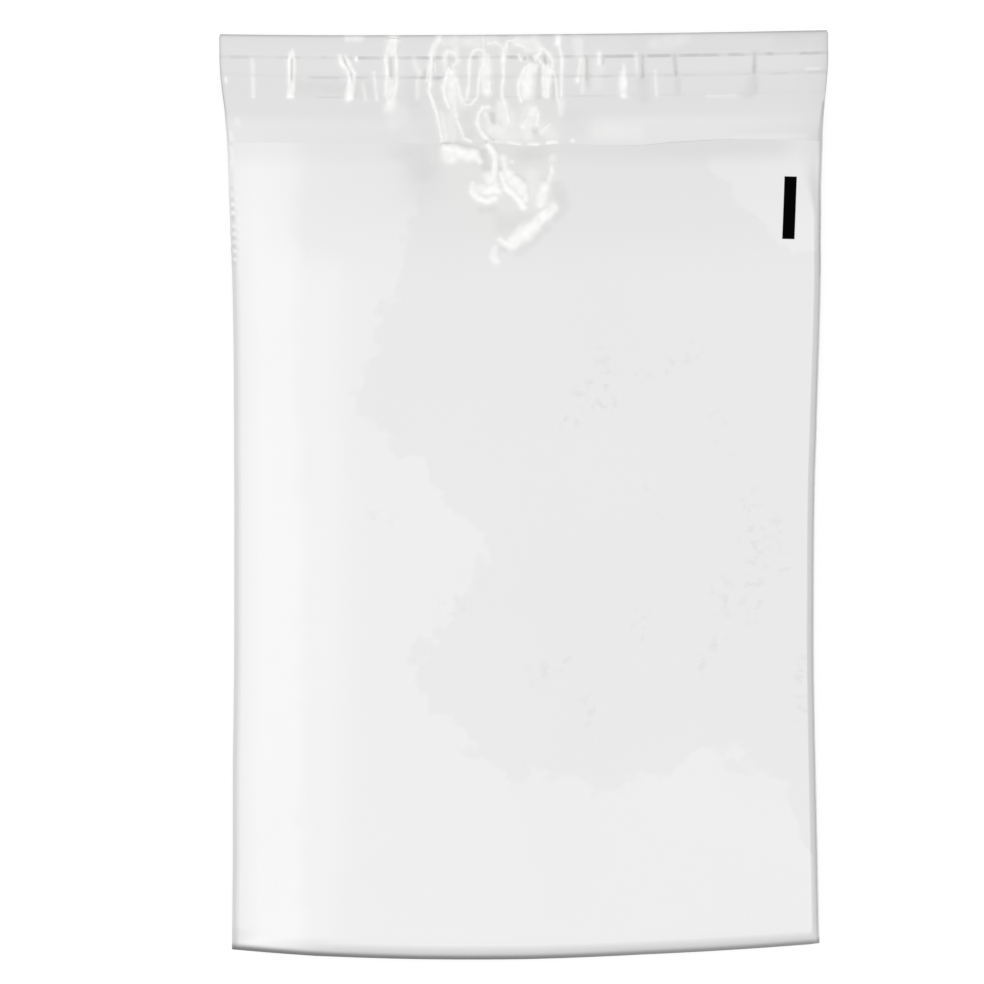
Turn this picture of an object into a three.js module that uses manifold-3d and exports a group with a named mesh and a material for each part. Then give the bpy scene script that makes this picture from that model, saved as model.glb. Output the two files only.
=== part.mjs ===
// A sealed poly mailer bag, softly filled, lying on its back.
// Millimetres. X runs across the bag, Y runs from the closed foot to the head fold, and Z is up.
// The back lies on Z = 0, and the origin is under the middle of the bag.
// A "drop" is a distance from the head fold towards the foot, measured along the bag.
import * as THREE from "three";
import { mergeVertices } from "three/addons/utils/BufferGeometryUtils.js";
import Module from "manifold-3d";

// The outline from above.
const WIDTH = 240; // across the head fold
const LENGTH = 364.4; // down the middle, from the head fold to the foot
const HEAD_DIP = 0.95; // the head fold sags this much in its middle
const FOOT_BOW = 4.2; // the foot bulges this much past its corners
const SHIFT = 2.2; // the foot lies this far to the left of the head
const SIDE_BOW = 1.2; // and the film below the flap this far to the right
const SIDE_BOW_AT = 96;
const SIDE_BOW_REACH = 84;
const WELD_DRAW_IN = 2.6; // each side pulls in this much beside the flap
const FILL_DRAW_IN = 3; // and this much more where the fill stretches the film
const FOOT_SPREAD = 1.5; // and spreads again towards the foot

// The filled body.
const THICKNESS = 21; // where the bag is full, film included
const FILM = 0.8; // one layer, and the welded side edges
const LEFT_SHOULDER = 56; // from the left edge to full thickness
const RIGHT_SHOULDER = 10; // the fill has slid to the right and to the foot, so these are steep
const FOOT_SHOULDER = 14;
const FILL_START = 10; // drop at which the fill begins
const FILL_FULL = 98; // drop at which the bag is full
const SIDE_LIFT = 6.5; // the side edges hang this far above the table
const SIDE_LIFT_REACH = 50;
const HEAD_LIFT = 5;
const HEAD_LIFT_REACH = 76;
const FOOT_LIFT = 5.5;
const FOOT_LIFT_REACH = 40;
const HEAD_FOLD = 2.2; // thickness of the head fold, before the flap is counted
const FOOT_FOLD = 3.6; // the rolled fold at the foot
const EDGE_ROUND = 0.35; // rounding of the side edges and the flap's edges
const FOOT_ROUND = 1.3;

// The flap, folded over the front and stuck down.
const FLAP_LENGTH = 42.6;
const FLAP_INSET = 0.4; // the flap's sides stand this far inside the bag's
const LIP_DROP = 9; // the flap steps up over the lip of the mouth here
const STRIP_FROM = 17; // the adhesive strip lies between these drops
const STRIP_TO = 25;
const STRIP_THICKNESS = 0.4;
const STRIP_SIDE_MARGIN = 3;
const CLEARANCE = 0.3; // between pieces that lie on each other
const TAIL_START = 28; // the loose tail of the flap lifts from this drop on

// The printed bar near the right edge.
const BAR_WIDTH = 4.8;
const BAR_LENGTH = 24.9;
const BAR_THICKNESS = 0.3;
const BAR_DROP = 56.9; // from the head fold to its upper end
const BAR_INSET = 13.2; // from the bag's side edge to its middle
const BAR_LEAN = 3.2; // degrees

// Grid steps of the sheets.
const FINE_STEP = 3.6;
const SHOULDER_STEP = 12;
const COARSE_STEP = 24;
const STRIP_STEP = 4;
const STEEP_STEP = 2.6; // over the steep shoulders

// Tunnels in the flap where it crosses the mouth and the strip.
// at: place across the bag; from, to: drops of its two ends; foot: half its width; rise: its height.
const TUNNELS = [
  { at: -91.7, from: 8, to: 26, foot: 2.2, rise: 1.5 },
  { at: -69.2, from: 9, to: 26, foot: 3, rise: 1.8 },
  { at: -52.6, from: 2, to: 30, foot: 2.8, rise: 2.2 },
  { at: -36.3, from: 4, to: 40, foot: 2.2, rise: 1.4 },
  { at: -28.6, from: 6, to: 40, foot: 3, rise: 1.8 },
  { at: -19.5, from: 8, to: 27, foot: 2.4, rise: 1.5 },
  { at: -13.2, from: 6, to: 25, foot: 1.8, rise: 1.3 },
  { at: -8.4, from: 4, to: 35, foot: 1.6, rise: 1.2 },
  { at: 1.4, from: 10, to: 27, foot: 3.4, rise: 2.2 },
  { at: 10.9, from: 8, to: 26, foot: 2.4, rise: 1.4 },
  { at: 15.4, from: 3, to: 26, foot: 1.6, rise: 1.1 },
  { at: 25.5, from: 9, to: 19, foot: 1.8, rise: 0.7 },
  { at: 40.1, from: 12, to: 26, foot: 2, rise: 1.2 },
  { at: 48, from: 9, to: 19, foot: 1.8, rise: 0.7 },
  { at: 60.6, from: 9, to: 19, foot: 1.8, rise: 0.7 },
  { at: 91.4, from: 9, to: 24, foot: 2.4, rise: 0.8 },
];

// Where the flap's tail stands off the front, right and left of the middle.
const RIGHT_LIFT = 2.4;
const RIGHT_LIFT_AT = 62;
const RIGHT_LIFT_REACH = 52;
const LEFT_LIFT = 1.2;
const LEFT_LIFT_AT = 78;
const LEFT_LIFT_REACH = 40;
const TAIL_LIFTS = [
  { at: RIGHT_LIFT_AT, reach: RIGHT_LIFT_REACH, rise: RIGHT_LIFT },
  { at: -LEFT_LIFT_AT, reach: LEFT_LIFT_REACH, rise: LEFT_LIFT },
];

// The crumple in the middle of the front, just below the flap: ridges through points [across, drop].
const CRUMPLE_REACH = 2.6; // half the width of a ridge
const CRUMPLE_RIDGES = [
  { rise: 1.9, points: [[-32, 45], [-28, 49], [-19, 45], [-17.5, 50]] },
  { rise: 1.7, points: [[-14, 44], [-12, 51], [-12, 60], [-10, 64]] },
  { rise: 2, points: [[-20, 59], [-20, 64], [-14, 66.5]] },
  { rise: 1.6, points: [[-9, 50], [-8, 58], [-3, 66], [1, 68.5]] },
  { rise: 1.5, points: [[10.5, 51], [8, 59], [5.5, 66]] },
  { rise: 2.4, points: [[12.5, 68.5], [3, 76], [-5, 82.5], [-11.5, 85], [-11.5, 89]] },
];
const CRUMPLE_LEFT = -40;
const CRUMPLE_RIGHT = 18;
const CRUMPLE_END = 93;

const FILM_WHITE = 0xe8e9e9;
const STRIP_GREY = 0xd4d5d3;
const INK_BLACK = 0x0b0b0b;

const wasm = await Module();
wasm.setup();

const half = WIDTH / 2;
const headTop = (LENGTH + HEAD_DIP) / 2;
const slot = STRIP_THICKNESS + 2 * CLEARANCE;

const clamp = (t) => Math.min(Math.max(t, 0), 1);
const smooth = (t) => clamp(t) * clamp(t) * (3 - 2 * clamp(t));
const lean = (drop) => -SHIFT * smooth(drop / LENGTH)
  + SIDE_BOW * smooth(1 - Math.abs(drop - SIDE_BOW_AT) / SIDE_BOW_REACH);

function halfWidth(drop) {
  const beside = WELD_DRAW_IN * smooth((drop - LIP_DROP) / (FLAP_LENGTH - LIP_DROP));
  const filled = FILL_DRAW_IN * smooth((drop - FLAP_LENGTH) / (1.5 * FILL_FULL));
  const foot = FOOT_SPREAD * smooth((drop - 0.64 * LENGTH) / (0.36 * LENGTH));
  return half - beside - filled + foot;
}

// The place from above of a point that lies a share of the half width from the middle, at a drop.
function seenFromAbove(share, drop) {
  const x = lean(drop) + share * halfWidth(drop);
  const head = headTop - HEAD_DIP * (1 - Math.abs(share) ** 2.5);
  const foot = -headTop + FOOT_BOW * share * share;
  return [x, head + ((foot - head) * drop) / LENGTH];
}

// How far the back hangs above the table.
function backHeight(share, drop) {
  const fromSide = (1 - Math.abs(share)) * halfWidth(drop);
  const side = (1 - clamp(fromSide / SIDE_LIFT_REACH)) ** 2;
  const head = HEAD_LIFT * (1 - clamp(drop / HEAD_LIFT_REACH)) ** 2;
  const foot = FOOT_LIFT * (1 - clamp((LENGTH - drop) / FOOT_LIFT_REACH)) ** 2;
  return SIDE_LIFT * side + (1 - side) * (head + foot);
}

function fullness(share, drop) {
  const fromSide = (1 - Math.abs(share)) * halfWidth(drop);
  const left = 1 - (1 - clamp(fromSide / LEFT_SHOULDER)) ** 2;
  const right = (1 - (1 - clamp(fromSide / RIGHT_SHOULDER)) ** 2) ** 0.65;
  const head = smooth((drop - FILL_START) / (FILL_FULL - FILL_START)) ** 0.85;
  const foot = (1 - (1 - clamp((LENGTH - drop) / FOOT_SHOULDER)) ** 2) ** 0.65;
  return (share < 0 ? left : right) * head * foot;
}

function distanceTo(points, x, drop) {
  let least = Infinity;
  for (let i = 1; i < points.length; i++) {
    const [x0, d0] = points[i - 1];
    const [x1, d1] = points[i];
    const along = clamp(((x - x0) * (x1 - x0) + (drop - d0) * (d1 - d0)) /
      ((x1 - x0) ** 2 + (d1 - d0) ** 2));
    least = Math.min(least, Math.hypot(x - x0 - along * (x1 - x0), drop - d0 - along * (d1 - d0)));
  }
  return least;
}

function crumple(x, drop) {
  let rise = 0;
  for (const ridge of CRUMPLE_RIDGES) {
    const distance = distanceTo(ridge.points, x, drop);
    rise = Math.max(rise, ridge.rise * Math.exp(-((distance / CRUMPLE_REACH) ** 2)));
  }
  return rise < 0.05 ? 0 : rise;
}

function frontHeight(share, drop) {
  const headFold = (HEAD_FOLD - FILM) * (1 - smooth(drop / LIP_DROP));
  const footFold = (FOOT_FOLD - FILM) * (1 - smooth((LENGTH - drop) / (3 * FOOT_FOLD)));
  const full = fullness(share, drop);
  const sheets = backHeight(share, drop) * (1 - full) + (THICKNESS - FILM) * full;
  return sheets + FILM + headFold + footFold * (1 - full) + crumple(share * halfWidth(drop), drop);
}

// The height of the flap's underside: it leaves the front at the head fold and steps up over the lip.
function flapHeight(share, drop) {
  const x = share * halfWidth(drop);
  const leaving = -FILM / 2 + (slot / 2 + FILM / 2) * smooth((drop - 2) / 3);
  const overLip = (slot / 2) * smooth((drop - LIP_DROP + 1) / 2);
  const tail = smooth((drop - TAIL_START) / (FLAP_LENGTH - TAIL_START));
  let lift = 0;
  for (const { at, reach, rise } of TAIL_LIFTS) {
    lift += rise * smooth(1 - Math.abs(x - at) / reach);
  }
  return frontHeight(share, drop) + leaving + overLip + lift * tail + tunnelHeight(x, drop);
}

function tunnelHeight(x, drop) {
  let height = 0;
  for (const { at, from, to, foot, rise } of TUNNELS) {
    const ends = smooth((drop - from) / 3) * smooth((to - drop) / 3);
    height = Math.max(height, rise * clamp(1 - Math.abs(x - at) / foot) * ends);
  }
  return height;
}

// Even places from one to another, no further apart than a step.
function spread(from, to, step) {
  const count = Math.max(1, Math.ceil((to - from) / step - 1e-6));
  return Array.from({ length: count + 1 }, (_, i) => from + ((to - from) * i) / count);
}

// Sorted places without near doubles, the two outer ones kept.
function inOrder(places, least) {
  const sorted = places.slice().sort((a, b) => a - b);
  const last = sorted[sorted.length - 1];
  const kept = [sorted[0]];
  for (const place of sorted) {
    if (place - kept[kept.length - 1] >= least && last - place >= least) kept.push(place);
  }
  return [...kept, last];
}

// Columns over the two shoulders, which every sheet shares so that the sheets nest.
function shoulderColumns() {
  return [
    ...spread(-half, -half + LEFT_SHOULDER, SHOULDER_STEP),
    ...spread(half - RIGHT_SHOULDER, half, STEEP_STEP),
  ];
}

// A closed slab of columns by rows with rounded walls; place gives each point's x, y and z.
function slab(columns, rows, place) {
  const geometry = new THREE.BoxGeometry(1, 1, 1, columns.length - 1, rows.length - 1, 2);
  const points = geometry.attributes.position;
  for (let i = 0; i < points.count; i++) {
    const column = Math.round((points.getX(i) + 0.5) * (columns.length - 1));
    const row = Math.round((0.5 - points.getY(i)) * (rows.length - 1));
    const level = Math.round(points.getZ(i) * 2);
    points.setXYZ(i, ...place(columns[column], rows[row], level));
  }
  return geometry;
}

function solidOf(geometry) {
  geometry.deleteAttribute("normal");
  geometry.deleteAttribute("uv");
  const merged = mergeVertices(geometry, 1e-5);
  return new wasm.Manifold(new wasm.Mesh({
    numProp: 3,
    vertProperties: merged.attributes.position.array,
    triVerts: new Uint32Array(merged.index.array),
  }));
}

function geometryOf(solid) {
  const { vertProperties, triVerts, numProp } = solid.getMesh();
  const geometry = new THREE.BufferGeometry();
  geometry.setAttribute("position", new THREE.InterleavedBufferAttribute(
    new THREE.InterleavedBuffer(vertProperties, numProp), 3, 0));
  geometry.setIndex(new THREE.BufferAttribute(triVerts, 1));
  const plain = mergeVertices(geometry.toNonIndexed(), 1e-5);
  plain.computeVertexNormals();
  return plain;
}

function body() {
  const columns = inOrder([
    ...shoulderColumns(),
    ...spread(-half + LEFT_SHOULDER, CRUMPLE_LEFT, COARSE_STEP),
    ...spread(CRUMPLE_LEFT, CRUMPLE_RIGHT, FINE_STEP),
    ...spread(CRUMPLE_RIGHT, half - RIGHT_SHOULDER, COARSE_STEP),
  ], 2);
  const rows = inOrder([
    ...spread(0, LIP_DROP, LIP_DROP / 3),
    ...spread(LIP_DROP, STRIP_FROM, STRIP_STEP),
    ...spread(STRIP_FROM, STRIP_TO, STRIP_STEP),
    ...spread(STRIP_TO, FLAP_LENGTH, 2 * STRIP_STEP),
    ...spread(FLAP_LENGTH, CRUMPLE_END, FINE_STEP),
    ...spread(CRUMPLE_END, LENGTH - FOOT_LIFT_REACH, COARSE_STEP),
    ...spread(LENGTH - FOOT_LIFT_REACH, LENGTH - FOOT_SHOULDER, SHOULDER_STEP),
    ...spread(LENGTH - FOOT_SHOULDER, LENGTH, STEEP_STEP),
  ], 1.5);
  return slab(columns, rows, (column, drop, level) => {
    const share = column / half;
    let [x, y] = seenFromAbove(share, drop);
    const back = backHeight(share, drop);
    const front = frontHeight(share, drop);
    if (level === 0) return [x, y, (back + front) / 2];
    if (Math.abs(share) === 1) x -= Math.sign(share) * EDGE_ROUND;
    if (drop === 0) y -= EDGE_ROUND * 2;
    if (drop === LENGTH) y += FOOT_ROUND;
    return [x, y, level > 0 ? front : back];
  });
}

function flap() {
  const plain = [
    ...shoulderColumns(),
    ...spread(-half + LEFT_SHOULDER, half - RIGHT_SHOULDER, COARSE_STEP),
  ];
  const tunnels = TUNNELS.flatMap(({ at, foot }) => [at - foot, at, at + foot]);
  const clear = plain.filter((place) => Math.abs(place) === half
    || tunnels.every((other) => Math.abs(place - other) > 3));
  const columns = inOrder([...clear, ...tunnels], 0.7);
  const rows = inOrder([
    0, LIP_DROP / 5, LIP_DROP / 2, LIP_DROP - 1, LIP_DROP + 1,
    (LIP_DROP + 1 + STRIP_FROM) / 2, ...spread(STRIP_FROM, STRIP_TO, STRIP_STEP),
    ...spread(STRIP_TO, FLAP_LENGTH, 2 * STRIP_STEP + 1),
  ], 1);
  return slab(columns, rows, (column, drop, level) => {
    const share = column / half;
    let [x, y] = seenFromAbove(share * (1 - FLAP_INSET / half), drop);
    const under = flapHeight(share, drop);
    const top = under + FILM;
    if (level === 0) return [x, y, (under + top) / 2];
    if (Math.abs(share) === 1) x -= Math.sign(share) * EDGE_ROUND;
    if (drop === 0) y -= EDGE_ROUND * 2;
    if (drop === FLAP_LENGTH) y += EDGE_ROUND;
    return [x, y, level > 0 ? top : under];
  });
}

function strip() {
  const end = half - STRIP_SIDE_MARGIN;
  const columns = inOrder([
    ...shoulderColumns().filter((place) => Math.abs(place) < end),
    ...spread(-end, end, SHOULDER_STEP),
  ], 1);
  const rows = spread(STRIP_FROM, STRIP_TO, STRIP_STEP);
  return slab(columns, rows, (column, drop, level) => {
    const share = column / half;
    const [x, y] = seenFromAbove(share, drop);
    const middle = frontHeight(share, drop) + CLEARANCE + STRIP_THICKNESS / 2;
    return [x, y, middle + (level * STRIP_THICKNESS) / 2];
  });
}

function bar() {
  const columns = spread(-BAR_WIDTH / 2, BAR_WIDTH / 2, BAR_WIDTH / 2);
  const rows = spread(0, BAR_LENGTH, 5);
  const turn = Math.tan(THREE.MathUtils.degToRad(BAR_LEAN));
  return slab(columns, rows, (across, down, level) => {
    const drop = BAR_DROP + down;
    const fromSide = BAR_INSET - across + turn * (down - BAR_LENGTH / 2);
    const share = 1 - fromSide / halfWidth(drop);
    const [x, y] = seenFromAbove(share, drop);
    const middle = frontHeight(share, drop) + CLEARANCE + BAR_THICKNESS / 2;
    return [x, y, middle + (level * BAR_THICKNESS) / 2];
  });
}

const mailer = new THREE.Group();

function piece(name, geometry, color, roughness) {
  const material = new THREE.MeshStandardMaterial({ color, roughness, metalness: 0 });
  const mesh = new THREE.Mesh(geometry, material);
  mesh.name = name;
  mailer.add(mesh);
}

const film = solidOf(body()).add(solidOf(flap()));
piece("bag_film", geometryOf(film), FILM_WHITE, 0.35);
piece("adhesive_strip", strip(), STRIP_GREY, 0.5);
piece("printed_bar", bar(), INK_BLACK, 0.5);

export default mailer;
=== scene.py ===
# %% [markdown]
# # A sealed poly mailer bag
#
# A poly mailer is one length of white polyethylene film. It is folded at the foot, welded
# down both sides, filled, and closed by a flap that folds over the front and sticks there.
# This lesson dresses the measured model of such a bag. The measured solids give its sizes,
# and the cells below make the fine film: shoulders, welds, tunnels over the glue, and the
# crumple in the middle.

import bpy
import numpy as np
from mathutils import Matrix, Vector, noise


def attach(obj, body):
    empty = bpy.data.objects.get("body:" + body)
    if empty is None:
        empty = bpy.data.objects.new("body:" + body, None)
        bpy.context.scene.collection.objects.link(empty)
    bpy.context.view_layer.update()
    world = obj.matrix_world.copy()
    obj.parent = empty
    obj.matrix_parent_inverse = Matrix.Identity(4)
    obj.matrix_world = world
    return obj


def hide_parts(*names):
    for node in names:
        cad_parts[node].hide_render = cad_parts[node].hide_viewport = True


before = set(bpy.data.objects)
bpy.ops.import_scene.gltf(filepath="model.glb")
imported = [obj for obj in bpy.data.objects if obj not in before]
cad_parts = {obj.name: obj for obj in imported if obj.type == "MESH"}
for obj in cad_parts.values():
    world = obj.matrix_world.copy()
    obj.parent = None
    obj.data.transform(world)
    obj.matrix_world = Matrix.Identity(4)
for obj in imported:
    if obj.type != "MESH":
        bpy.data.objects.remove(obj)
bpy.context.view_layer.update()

# %% [markdown]
# ## The bag's sizes
#
# Everything on the film is placed by two numbers. The share runs from -1 at the left weld
# to 1 at the right one, and the drop is the distance from the head fold towards the foot.
# The same few curves that shape the solids shape the film, so it fits them. Lengths are in
# millimetres until the last step, because creases are easier to think of that way.

# %% Outline, seen from above
MM = 0.001
HALF = 120.0  # half the width, along the head fold
LENGTH = 364.4
HEAD_DIP, HEAD_CURVE = 0.95, 2.5
RIGHT_END_DROP = 0.4  # the right end of the head fold lies this much lower
HEAD_TOP = (LENGTH + HEAD_DIP) / 2
FOOT_BOW = 4.2
SHIFT = 2.2  # the foot lies this far to the left of the head
SIDE_BOW, SIDE_BOW_AT, SIDE_BOW_REACH = 1.2, 96.0, 84.0

# How far the sides move in or out, from which drop on, and over what length.
BESIDE_FLAP = (2.6, 9.0, 33.6)
BESIDE_FILL = (3.0, 42.6, 147.0)
AT_FOOT = (1.5, 233.2, 131.2)

# The small waves of the sides down the bag, and of the foot across it.
RIGHT_WAVES = (
    [0, 36, 46, 62, 84, 100, 125, 162, 200, 250, LENGTH],
    [0.5, 0.6, 0.3, -0.5, -0.6, -0.2, 0.3, 0.9, 0.4, 0.2, 0.4],
)
LEFT_WAVES = ([0, 30, 36, 50, 290, 330, LENGTH], [0, 0, -0.3, 0, 0, 0.5, 0.3])
FOOT_WAVES = (
    [-1, -0.97, -0.85, -0.72, -0.36, 0, 0.4, 0.97, 1],
    [0.4, 0.5, 0.9, 1.25, 1.3, 1.1, 0.3, 0, -0.2],
)


def smooth(t):
    t = np.clip(t, 0.0, 1.0)
    return t * t * (3 - 2 * t)


def eased(drop, amount, start, length):
    return amount * smooth((drop - start) / length)


def half_width(drop):
    return HALF - eased(drop, *BESIDE_FLAP) - eased(drop, *BESIDE_FILL) + eased(drop, *AT_FOOT)


def from_above(share, drop):
    bow = SIDE_BOW * smooth(1 - np.abs(drop - SIDE_BOW_AT) / SIDE_BOW_REACH)
    right = np.interp(drop, *RIGHT_WAVES) * np.maximum(share, 0) ** 3
    left = np.interp(drop, *LEFT_WAVES) * np.maximum(-share, 0) ** 3
    x = bow - SHIFT * smooth(drop / LENGTH) + share * half_width(drop) + right + left
    head = HEAD_TOP - HEAD_DIP * (1 - np.abs(share) ** HEAD_CURVE)
    head = head - RIGHT_END_DROP * np.maximum(share, 0) ** 4
    foot = -HEAD_TOP + FOOT_BOW * share**2 - np.interp(share, *FOOT_WAVES)
    return x, head + (foot - head) * drop / LENGTH


print("foot corner", [round(float(v), 2) for v in from_above(np.array(1.0), np.array(LENGTH))])

# %% [markdown]
# Seen from the side, the back lies on the table and lifts towards the edges, and the front
# is as high as the fill makes it. The fill has slid to the right and to the foot, so the
# bag rises slowly from the left and steeply at the other two.

# %% Heights of the back and the front
THICKNESS = 21.0  # where the bag is full, film included
FILM = 0.8
SIDE_LIFT, SIDE_LIFT_REACH = 6.5, 50.0
HEAD_LIFT, HEAD_LIFT_REACH = 5.0, 76.0
FOOT_LIFT, FOOT_LIFT_REACH = 5.5, 40.0
LEFT_RIM, RIGHT_RIM = 1.1, 0.5  # flat film outside the fill
LEFT_SHOULDER, RIGHT_SHOULDER, FOOT_SHOULDER = 56.0, 3.6, 8.0
SLACK, SLACK_FROM, SLACK_LENGTH = 9.0, 42.0, 34.0  # widens the right shoulder beside the mouth
FILL_START, FILL_FULL = 10.0, 98.0
HEAD_FOLD, HEAD_FOLD_LENGTH = 1.4, 9.0
FOOT_FOLD, FOOT_FOLD_LENGTH = 2.8, 10.8


def fading(away, reach):
    return (1 - np.clip(away / reach, 0, 1)) ** 2


def back_height(share, drop):
    side = fading((1 - np.abs(share)) * half_width(drop), SIDE_LIFT_REACH)
    head = HEAD_LIFT * fading(drop, HEAD_LIFT_REACH)
    foot = FOOT_LIFT * fading(LENGTH - drop, FOOT_LIFT_REACH)
    return SIDE_LIFT * side + (1 - side) * (head + foot)


def fullness(share, drop):
    rim = np.where(share < 0, LEFT_RIM, RIGHT_RIM)
    from_rim = np.maximum((1 - np.abs(share)) * half_width(drop) - rim, 0)
    steep = RIGHT_SHOULDER + SLACK * (1 - smooth((drop - SLACK_FROM) / SLACK_LENGTH))
    left = 1 - fading(from_rim, LEFT_SHOULDER)
    right = (1 - fading(from_rim, steep)) ** 0.55
    head = smooth((drop - FILL_START) / (FILL_FULL - FILL_START)) ** 0.85
    foot = (1 - fading(LENGTH - drop, FOOT_SHOULDER)) ** 0.65
    return np.where(share < 0, left, right) * head * foot


def front_height(share, drop):
    full = fullness(share, drop)
    head_fold = HEAD_FOLD * (1 - smooth(drop / HEAD_FOLD_LENGTH))
    foot_fold = FOOT_FOLD * (1 - smooth((LENGTH - drop) / FOOT_FOLD_LENGTH)) * (1 - full)
    sheets = back_height(share, drop) * (1 - full) + (THICKNESS - FILM) * full
    return sheets + FILM + head_fold + foot_fold


print("middle height", round(float(front_height(np.array(0.0), np.array(LENGTH / 2))), 2))
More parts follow.
